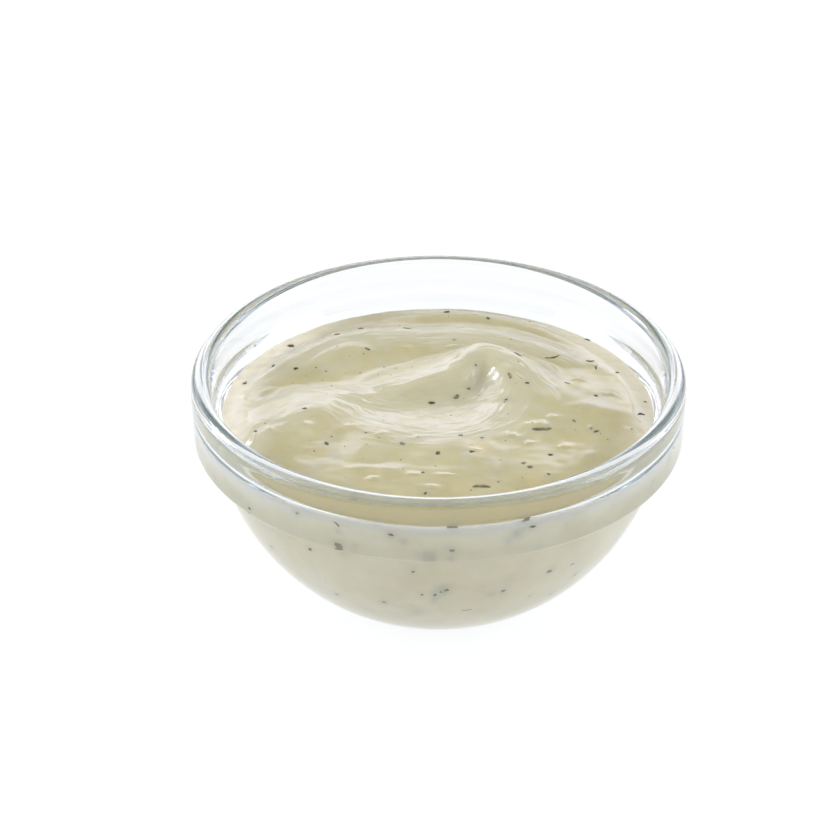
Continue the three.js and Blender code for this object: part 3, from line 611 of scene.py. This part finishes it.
def sliver(rng, length, thick):
    """A short split piece of stem: five-sided, tapering and slightly bent."""
    n, sides = 6, 6
    bend = rng.uniform(-0.18, 0.18) * length
    rows = []
    for k in range(n + 1):
        q = k / n
        x = (q - 0.5) * length
        y = bend * (4 * q * (1 - q) - 0.5)
        r = 0.5 * thick * (0.35 + 0.65 * math.sin(math.pi * min(max(q * 0.9 + 0.06, 0), 1)) ** 0.6) * rng.uniform(0.85, 1.15)
        t = np.arange(sides) / sides * 2 * math.pi + 0.3 * k
        rows.append(np.stack([np.full(sides, x), y + r * np.cos(t), 0.7 * r * np.sin(t)], 1))
    v = np.concatenate(rows + [[[-0.5 * length - 0.08, rows[0][:, 1].mean(), 0]], [[0.5 * length + 0.08, rows[-1][:, 1].mean(), 0]]])
    f = []
    for k in range(n):
        for i in range(sides):
            j = (i + 1) % sides
            f.append((k * sides + i, k * sides + j, (k + 1) * sides + j, (k + 1) * sides + i))
    a, b = (n + 1) * sides, (n + 1) * sides + 1
    for i in range(sides):
        j = (i + 1) % sides
        f += [(a, j, i), (b, n * sides + i, n * sides + j)]
    return v, f


def gather(name, bits):
    """One mesh of many bits, each set down at a point in its own frame."""
    verts, faces, shade, base = [], [], [], 0
    rng = np.random.default_rng(len(name))
    for (v, f), p, n, u, w, turn, sink in bits:
        c, s = math.cos(math.radians(turn)), math.sin(math.radians(turn))
        U, W = np.array(u) * c + np.array(w) * s, np.array(w) * c - np.array(u) * s
        q = np.array(p) + v[:, :1] * U + v[:, 1:2] * W + (v[:, 2:3] + sink) * np.array(n)
        verts.append(q)
        faces += [tuple(base + i for i in face) for face in f]
        level = rng.random()
        shade.append(np.full(len(v), 0.55 + 0.45 * level if sink <= -0.05 else 0.55 * level ** 2))
        base += len(v)
    ob = new_mesh(name, np.concatenate(verts) * MM, faces)
    attr = ob.data.attributes.new("pale", "FLOAT", "POINT")
    attr.data.foreach_set("value", np.concatenate(shade).astype(np.float32))
    return ob


def herbs():
    rng = np.random.default_rng(11)
    flakes, stems = [], []
    for x, y, l, w, turn in HERBS_TOP:
        p = place_top(x, y)
        n, u, v = top_frame(p)
        flakes.append((flake(rng, l * 1.35, w * 1.6, 0.26), p, n, u, v, turn, -0.03))
    for x, y, l, t, turn in STEMS_TOP:
        p = place_top(x, y)
        n, u, v = top_frame(p)
        stems.append((sliver(rng, l, t * 1.15), p, n, u, v, turn, 0.05))
    for az, z, l, w, turn in HERBS_WALL:
        p, n, u, v = wall_frame(az, z)
        flakes.append((flake(rng, l * 1.3, w * 1.5, 0.2), p, n, u, v, turn, -0.05))
    for az, z, l, t, turn in STEMS_WALL:
        p, n, u, v = wall_frame(az, z)
        stems.append((sliver(rng, l, t), p, n, u, v, turn, -0.02))
    # smaller specks on top, and more of all kinds round the sides that the photo doesn't show
    for _ in range(70):
        r, t = 37.5 * math.sqrt(rng.random()), rng.uniform(0, 2 * math.pi)
        x, y = r * math.cos(t), r * math.sin(t)
        p = np.array([x, y, float(level_at(x, y))])
        n, u, v = top_frame(p)
        l = rng.uniform(0.18, 0.42)
        flakes.append((flake(rng, l, l * rng.uniform(0.6, 0.9), 0.12), p, n, u, v, rng.uniform(0, 180), 0.0))
    for k in range(66):
        az = rng.uniform(62, 298)
        z = 6 + 31 * rng.random() ** 0.8
        if k >= 44:
            az = rng.uniform(-70, 70)
            z = rng.uniform(11, 36)
        z = min(z, float(contact_z(39 * math.sin(math.radians(az)), -39 * math.cos(math.radians(az)))) - 1.0)
        p, n, u, v = wall_frame(az, z)
        l = rng.uniform(0.5, 1.5) if k < 30 else rng.uniform(0.2, 0.45)
        flakes.append((flake(rng, l, l * rng.uniform(0.45, 0.8), 0.18), p, n, u, v, rng.uniform(0, 180), -0.05))
    for _ in range(9):
        az, z = rng.uniform(62, 298), rng.uniform(10, 35)
        z = min(z, float(contact_z(39 * math.sin(math.radians(az)), -39 * math.cos(math.radians(az)))) - 1.8)
        p, n, u, v = wall_frame(az, z)
        stems.append((sliver(rng, rng.uniform(1.2, 2.4), rng.uniform(0.26, 0.42)), p, n, u, v, rng.uniform(0, 180), -0.02))
    return gather("herb_flecks", flakes), gather("herb_stems", stems)


sauce = sauce_mesh()
herb_flecks, herb_stems = herbs()

# ---------------------------------------------------------------- materials
def material(name):
    m = bpy.data.materials.new(name)
    m.use_nodes = True
    nt = m.node_tree
    for n in list(nt.nodes):
        nt.nodes.remove(n)
    out = nt.nodes.new("ShaderNodeOutputMaterial")
    p = nt.nodes.new("ShaderNodeBsdfPrincipled")
    nt.links.new(p.outputs[0], out.inputs[0])
    return m, nt, p, out


def node(nt, kind, **values):
    n = nt.nodes.new(kind)
    for k, v in values.items():
        if hasattr(n, k) and k not in n.inputs:
            setattr(n, k, v)
        else:
            n.inputs[k].default_value = v
    return n


def ramp(nt, factor, stops):
    n = nt.nodes.new("ShaderNodeValToRGB")
    el = n.color_ramp.elements
    el[0].position, el[0].color = stops[0][0], (*stops[0][1], 1)
    el[1].position, el[1].color = stops[-1][0], (*stops[-1][1], 1)
    for pos, c in stops[1:-1]:
        e = el.new(pos)
        e.color = (*c, 1)
    nt.links.new(factor, n.inputs[0])
    return n


def glass_material():
    m, nt, p, out = material("clear_glass")
    p.inputs["Transmission Weight"].default_value = 1.0
    p.inputs["IOR"].default_value = 1.5
    p.inputs["Coat Weight"].default_value = 0.0
    p.inputs["Coat Roughness"].default_value = 0.02
    p.inputs["Base Color"].default_value = (0.995, 1.0, 0.998, 1)
    tc = nt.nodes.new("ShaderNodeTexCoord")
    n = node(nt, "ShaderNodeTexNoise", Scale=90.0, Detail=2.0)
    nt.links.new(tc.outputs["Object"], n.inputs["Vector"])
    mr = node(nt, "ShaderNodeMapRange")
    nt.links.new(n.outputs["Fac"], mr.inputs["Value"])
    mr.inputs["To Min"].default_value, mr.inputs["To Max"].default_value = 0.0, 0.03
    nt.links.new(mr.outputs[0], p.inputs["Roughness"])
    ab = nt.nodes.new("ShaderNodeVolumeAbsorption")
    ab.inputs["Color"].default_value = (0.57, 0.64, 0.67, 1)
    ab.inputs["Density"].default_value = 26.0
    nt.links.new(ab.outputs[0], out.inputs["Volume"])
    return m


def sauce_material():
    m, nt, p, out = material("garlic_sauce")
    tc = nt.nodes.new("ShaderNodeTexCoord")
    n1 = node(nt, "ShaderNodeTexNoise", Scale=120.0, Detail=4.0, Roughness=0.55)
    nt.links.new(tc.outputs["Object"], n1.inputs["Vector"])
    c1 = ramp(nt, n1.outputs["Fac"], [(0.3, (0.438, 0.391, 0.206)), (0.5, (0.474, 0.426, 0.237)), (0.72, (0.514, 0.466, 0.277))])
    tone = c1
    for scale, seed, low, high, amount, colour in ((150.0, 3.0, 0.54, 0.70, 0.38, (0.60, 0.47, 0.22, 1)), (170.0, 9.0, 0.52, 0.70, 0.5, (0.47, 0.46, 0.375, 1)), (420.0, 5.0, 0.55, 0.75, 0.35, (0.45, 0.43, 0.30, 1))):
        patch = node(nt, "ShaderNodeTexNoise", Scale=scale, Detail=3.0, Roughness=0.6)
        patch.noise_dimensions = "4D"
        patch.inputs["W"].default_value = seed
        nt.links.new(tc.outputs["Object"], patch.inputs["Vector"])
        share = node(nt, "ShaderNodeMapRange")
        share.inputs["From Min"].default_value, share.inputs["From Max"].default_value = low, high
        share.inputs["To Max"].default_value = amount
        nt.links.new(patch.outputs["Fac"], share.inputs["Value"])
        over = nt.nodes.new("ShaderNodeMix")
        over.data_type = "RGBA"
        over.inputs[7].default_value = colour
        nt.links.new(share.outputs[0], over.inputs[0])
        nt.links.new(tone.outputs[2 if tone is not c1 else 0], over.inputs[6])
        tone = over
    # Where the sauce lies against the glass it is much paler: partly the sauce's own paler layer there, partly painted
    # reflection haze of the glass.
    wall = nt.nodes.new("ShaderNodeAttribute")
    wall.attribute_name = "against_glass"
    glass_side_tone_and_haze = ramp(nt, n1.outputs["Fac"], [(0.3, (0.74, 0.69, 0.51)), (0.5, (0.80, 0.755, 0.57)), (0.72, (0.835, 0.80, 0.625))])
    mix = nt.nodes.new("ShaderNodeMix")
    mix.data_type = "RGBA"
    nt.links.new(wall.outputs["Fac"], mix.inputs[0])
    nt.links.new(tone.outputs[2], mix.inputs[6])
    nt.links.new(glass_side_tone_and_haze.outputs[0], mix.inputs[7])
    film_painted_light_and_shade = nt.nodes.new("ShaderNodeAttribute")
    film_painted_light_and_shade.attribute_name = "film_painted_light_and_shade"
    # Near-white colour along the contact line and at the bottom: partly a thin film of sauce, partly painted light.
    pale_film_and_painted_light = node(nt, "ShaderNodeMapRange")
    pale_film_and_painted_light.inputs["To Max"].default_value = 0.85
    nt.links.new(film_painted_light_and_shade.outputs["Fac"], pale_film_and_painted_light.inputs["Value"])
    # Painted shade: a darker, browner colour on the top near the front glass.
    painted_shade_edge = node(nt, "ShaderNodeMapRange")
    painted_shade_edge.inputs["From Min"].default_value, painted_shade_edge.inputs["From Max"].default_value = 0.0, -1.0
    painted_shade_edge.inputs["To Max"].default_value = 0.95
    nt.links.new(film_painted_light_and_shade.outputs["Fac"], painted_shade_edge.inputs["Value"])
    edges = mix
    # Folds paled: partly aerated sauce, partly painted highlight.
    drawn = nt.nodes.new("ShaderNodeAttribute")
    drawn.attribute_name = "drawn_out_painted_highlight"
    airy_and_painted_highlight = node(nt, "ShaderNodeMapRange")
    airy_and_painted_highlight.inputs["To Max"].default_value = 0.55
    nt.links.new(drawn.outputs["Fac"], airy_and_painted_highlight.inputs["Value"])
    for factor, colour in ((airy_and_painted_highlight, (0.545, 0.518, 0.385, 1)), (pale_film_and_painted_light, (0.86, 0.85, 0.83, 1)), (painted_shade_edge, (0.44, 0.37, 0.165, 1))):
        over = nt.nodes.new("ShaderNodeMix")
        over.data_type = "RGBA"
        over.inputs[7].default_value = colour
        nt.links.new(factor.outputs[0], over.inputs[0])
        nt.links.new(edges.outputs[2], over.inputs[6])
        edges = over
    # Painted reflection along the left and right edges of the top.
    rim = nt.nodes.new("ShaderNodeAttribute")
    rim.attribute_name = "painted_reflection_rim"
    painted_reflection_tint = nt.nodes.new("ShaderNodeMix")
    painted_reflection_tint.data_type = "RGBA"
    painted_reflection_tint.inputs[7].default_value = (0.86, 0.785, 0.59, 1)
    nt.links.new(rim.outputs["Fac"], painted_reflection_tint.inputs[0])
    nt.links.new(edges.outputs[2], painted_reflection_tint.inputs[6])
    mix = painted_reflection_tint
    sunk = nt.nodes.new("ShaderNodeAttribute")
    sunk.attribute_name = "sunk_herb"
    veil = nt.nodes.new("ShaderNodeMix")
    veil.data_type = "RGBA"
    veil.inputs[7].default_value = (0.27, 0.32, 0.305, 1)
    nt.links.new(sunk.outputs["Fac"], veil.inputs[0])
    nt.links.new(mix.outputs[2], veil.inputs[6])
    nt.links.new(veil.outputs[2], p.inputs["Base Color"])
    n2 = node(nt, "ShaderNodeTexNoise", Scale=420.0, Detail=2.0)
    nt.links.new(tc.outputs["Object"], n2.inputs["Vector"])
    mr = node(nt, "ShaderNodeMapRange")
    nt.links.new(n2.outputs["Fac"], mr.inputs["Value"])
    mr.inputs["To Min"].default_value, mr.inputs["To Max"].default_value = 0.05, 0.14
    nt.links.new(mr.outputs[0], p.inputs["Roughness"])
    way = nt.nodes.new("ShaderNodeAttribute")
    way.attribute_name = "streak_way"
    strength = nt.nodes.new("ShaderNodeAttribute")
    strength.attribute_name = "streak_strength"
    stretch = nt.nodes.new("ShaderNodeVectorMath")
    stretch.operation = "MULTIPLY"
    stretch.inputs[1].default_value = (1.6, 0.36, 1.0)
    nt.links.new(way.outputs["Vector"], stretch.inputs[0])
    combed = node(nt, "ShaderNodeTexNoise", Scale=1.0, Detail=3.0, Roughness=0.62, Distortion=0.35)
    nt.links.new(stretch.outputs[0], combed.inputs["Vector"])
    streaks = node(nt, "ShaderNodeBump", Distance=0.0001)
    nt.links.new(strength.outputs["Fac"], streaks.inputs["Strength"])
    nt.links.new(combed.outputs["Fac"], streaks.inputs["Height"])
    bump = node(nt, "ShaderNodeBump", Strength=0.12, Distance=0.0001)
    nt.links.new(n2.outputs["Fac"], bump.inputs["Height"])
    nt.links.new(streaks.outputs[0], bump.inputs["Normal"])
    nt.links.new(bump.outputs[0], p.inputs["Normal"])
    p.inputs["IOR"].default_value = 1.47
    p.inputs["Subsurface Weight"].default_value = 0.5
    p.inputs["Subsurface Radius"].default_value = (1.0, 0.85, 0.5)
    p.inputs["Subsurface Scale"].default_value = 0.0012
    return m


def herb_material():
    m, nt, p, out = material("dried_herb")
    tc = nt.nodes.new("ShaderNodeTexCoord")
    n1 = node(nt, "ShaderNodeTexNoise", Scale=700.0, Detail=3.0)
    nt.links.new(tc.outputs["Object"], n1.inputs["Vector"])
    c = ramp(nt, n1.outputs["Fac"], [(0.32, (0.07, 0.052, 0.018)), (0.5, (0.135, 0.103, 0.042)), (0.66, (0.24, 0.195, 0.10))])
    light = ramp(nt, n1.outputs["Fac"], [(0.32, (0.27, 0.25, 0.155)), (0.5, (0.35, 0.325, 0.21)), (0.66, (0.44, 0.41, 0.29))])
    pale = nt.nodes.new("ShaderNodeAttribute")
    pale.attribute_name = "pale"
    mix = nt.nodes.new("ShaderNodeMix")
    mix.data_type = "RGBA"
    nt.links.new(pale.outputs["Fac"], mix.inputs[0])
    nt.links.new(c.outputs[0], mix.inputs[6])
    nt.links.new(light.outputs[0], mix.inputs[7])
    nt.links.new(mix.outputs[2], p.inputs["Base Color"])
    mr = node(nt, "ShaderNodeMapRange")
    nt.links.new(n1.outputs["Fac"], mr.inputs["Value"])
    mr.inputs["To Min"].default_value, mr.inputs["To Max"].default_value = 0.35, 0.65
    nt.links.new(mr.outputs[0], p.inputs["Roughness"])
    p.inputs["Specular IOR Level"].default_value = 0.04
    bump = node(nt, "ShaderNodeBump", Strength=0.4, Distance=0.0001)
    nt.links.new(n1.outputs["Fac"], bump.inputs["Height"])
    nt.links.new(bump.outputs[0], p.inputs["Normal"])
    return m


bowl.data.materials.append(glass_material())
herb_mat = herb_material()
for piece in (herb_flecks, herb_stems):
    piece.data.materials.append(herb_mat)
    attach(piece, "root")
sauce.data.materials.append(sauce_material())
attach(bowl, "root")
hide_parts("glass_bowl")
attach(sauce, "root")
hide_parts("garlic_sauce")

# ---------------------------------------------------------------- floor, light, camera
def floor_material():
    """White table that glows by emission, like a light table, with painted light a little stronger at the two sides,
    where the softboxes stand.
    """
    m, nt, p, out = material("pale_floor")
    p.inputs["Base Color"].default_value = (0.15, 0.15, 0.15, 1)
    p.inputs["Roughness"].default_value = 0.9
    p.inputs["Specular IOR Level"].default_value = 0.0
    tc = nt.nodes.new("ShaderNodeTexCoord")
    xyz = nt.nodes.new("ShaderNodeSeparateXYZ")
    nt.links.new(tc.outputs["Object"], xyz.inputs[0])
    off = node(nt, "ShaderNodeMath", operation="ABSOLUTE")
    nt.links.new(xyz.outputs["X"], off.inputs[0])
    mr = node(nt, "ShaderNodeMapRange")
    mr.interpolation_type = "SMOOTHSTEP"
    mr.inputs["From Min"].default_value, mr.inputs["From Max"].default_value = 0.055, 0.12
    mr.inputs["To Min"].default_value, mr.inputs["To Max"].default_value = 0.88, 0.98
    nt.links.new(off.outputs[0], mr.inputs["Value"])
    p.inputs["Emission Color"].default_value = (0.99, 0.995, 1.0, 1)
    nt.links.new(mr.outputs[0], p.inputs["Emission Strength"])
    return m


bpy.ops.mesh.primitive_circle_add(vertices=96, radius=3.0, fill_type="NGON", location=(0, 0, -0.0002))
floor = bpy.context.object
floor.name = "floor"
floor.data.materials.append(floor_material())

scene = bpy.context.scene
world = bpy.data.worlds.new("studio")
scene.world = world
world.use_nodes = True
wn = world.node_tree
for n in list(wn.nodes):
    wn.nodes.remove(n)
wout = wn.nodes.new("ShaderNodeOutputWorld")
bg = wn.nodes.new("ShaderNodeBackground")
wn.links.new(bg.outputs[0], wout.inputs[0])
wtc = wn.nodes.new("ShaderNodeTexCoord")
sep = wn.nodes.new("ShaderNodeSeparateXYZ")
wn.links.new(wtc.outputs["Generated"], sep.inputs[0])
middle = ramp(wn, sep.outputs["Z"], [(0.0, (0.95, 0.95, 1.02)), (0.10, (1.05, 1.05, 1.15)), (0.22, (2.5, 2.46, 2.95)), (0.34, (2.5, 2.46, 2.95)), (0.452, (0.52, 0.50, 0.48)), (0.80, (0.56, 0.53, 0.49)), (1.0, (0.71, 0.70, 0.67))])
sides = ramp(wn, sep.outputs["Z"], [(0.0, (0.95, 0.95, 1.02)), (0.10, (1.05, 1.05, 1.15)), (0.22, (2.5, 2.46, 2.95)), (0.42, (2.5, 2.46, 2.95)), (0.53, (0.52, 0.50, 0.48)), (0.80, (0.56, 0.53, 0.49)), (1.0, (0.71, 0.70, 0.67))])
aside = node(wn, "ShaderNodeMath", operation="ABSOLUTE")
wn.links.new(sep.outputs["X"], aside.inputs[0])
reach = wn.nodes.new("ShaderNodeMapRange")
reach.interpolation_type = "SMOOTHSTEP"
reach.inputs["From Min"].default_value, reach.inputs["From Max"].default_value = 0.042, 0.078
wn.links.new(aside.outputs[0], reach.inputs["Value"])
up = wn.nodes.new("ShaderNodeMix")
up.data_type = "RGBA"
wn.links.new(reach.outputs[0], up.inputs[0])
wn.links.new(middle.outputs[0], up.inputs[6])
wn.links.new(sides.outputs[0], up.inputs[7])
front = ramp(wn, sep.outputs["Z"], [(0.0, (1.85, 1.84, 1.80)), (0.5, (1.40, 1.38, 1.31)), (0.80, (0.42, 0.41, 0.38)), (1.0, (0.70, 0.69, 0.66))])
back = wn.nodes.new("ShaderNodeMapRange")
back.inputs["From Min"].default_value, back.inputs["From Max"].default_value = -0.5, 0.25
wn.links.new(sep.outputs["Y"], back.inputs["Value"])
blend_sky = wn.nodes.new("ShaderNodeMix")
blend_sky.data_type = "RGBA"
wn.links.new(back.outputs[0], blend_sky.inputs[0])
wn.links.new(front.outputs[0], blend_sky.inputs[6])
wn.links.new(up.outputs[2], blend_sky.inputs[7])
wn.links.new(blend_sky.outputs[2], bg.inputs["Color"])
bg.inputs["Strength"].default_value = 1.0


def area(name, loc, target, size, power, size_y=None):
    d = bpy.data.lights.new(name, "AREA")
    d.shape = "RECTANGLE"
    d.size, d.size_y = size, size_y or size
    d.energy = power
    d.color = (0.80, 0.91, 1.12)
    o = bpy.data.objects.new(name, d)
    scene.collection.objects.link(o)
    o.location = loc
    o.rotation_mode = "QUATERNION"
    o.rotation_quaternion = (Vector(target) - Vector(loc)).to_track_quat("-Z", "Y")
    return o


area("small_lamp", (-0.53, 0.39, 0.49), (0.010, 0.010, 0.038), 0.16, 1.5)
area("left_softbox", (-0.95, 0.05, 0.38), (0, 0, 0.03), 0.8, 5.0, 0.6)
area("right_softbox", (0.95, 0.05, 0.38), (0, 0, 0.03), 0.8, 5.0, 0.6)

ELEV = math.radians(30.6)
DIST = 0.5
rim = Vector((0, 0, LIP_Z * MM))
cam_data = bpy.data.cameras.new("camera")
cam_data.sensor_width = 36.0
cam_data.lens = 2749.0 / 840.0 * 36.0
cam = bpy.data.objects.new("camera", cam_data)
scene.collection.objects.link(cam)
cam.location = rim + Vector((0, -DIST * math.cos(ELEV), DIST * math.sin(ELEV)))
want = ((438.4 - 420.0) / 2749.0, (420.0 - 377.33) / 2749.0)
yaw, pitch = 0.0, -ELEV
for _ in range(12):
    f = Vector((-math.sin(yaw) * math.cos(pitch), math.cos(yaw) * math.cos(pitch), math.sin(pitch)))
    right = f.cross(Vector((0, 0, 1))).normalized()
    upv = right.cross(f)
    w = rim - cam.location
    gx, gy = w.dot(right) / w.dot(f), w.dot(upv) / w.dot(f)
    yaw += want[0] - gx
    pitch -= want[1] - gy
cam.rotation_mode = "QUATERNION"
cam.rotation_quaternion = Matrix((right, upv, -f)).transposed().to_quaternion()
cam_data.clip_start, cam_data.clip_end = 0.01, 20.0
scene.camera = cam

scene.cycles.max_bounces = 24
scene.cycles.glossy_bounces = 24
scene.cycles.transmission_bounces = 24
scene.view_settings.view_transform = "Standard"
scene.view_settings.look = "None"
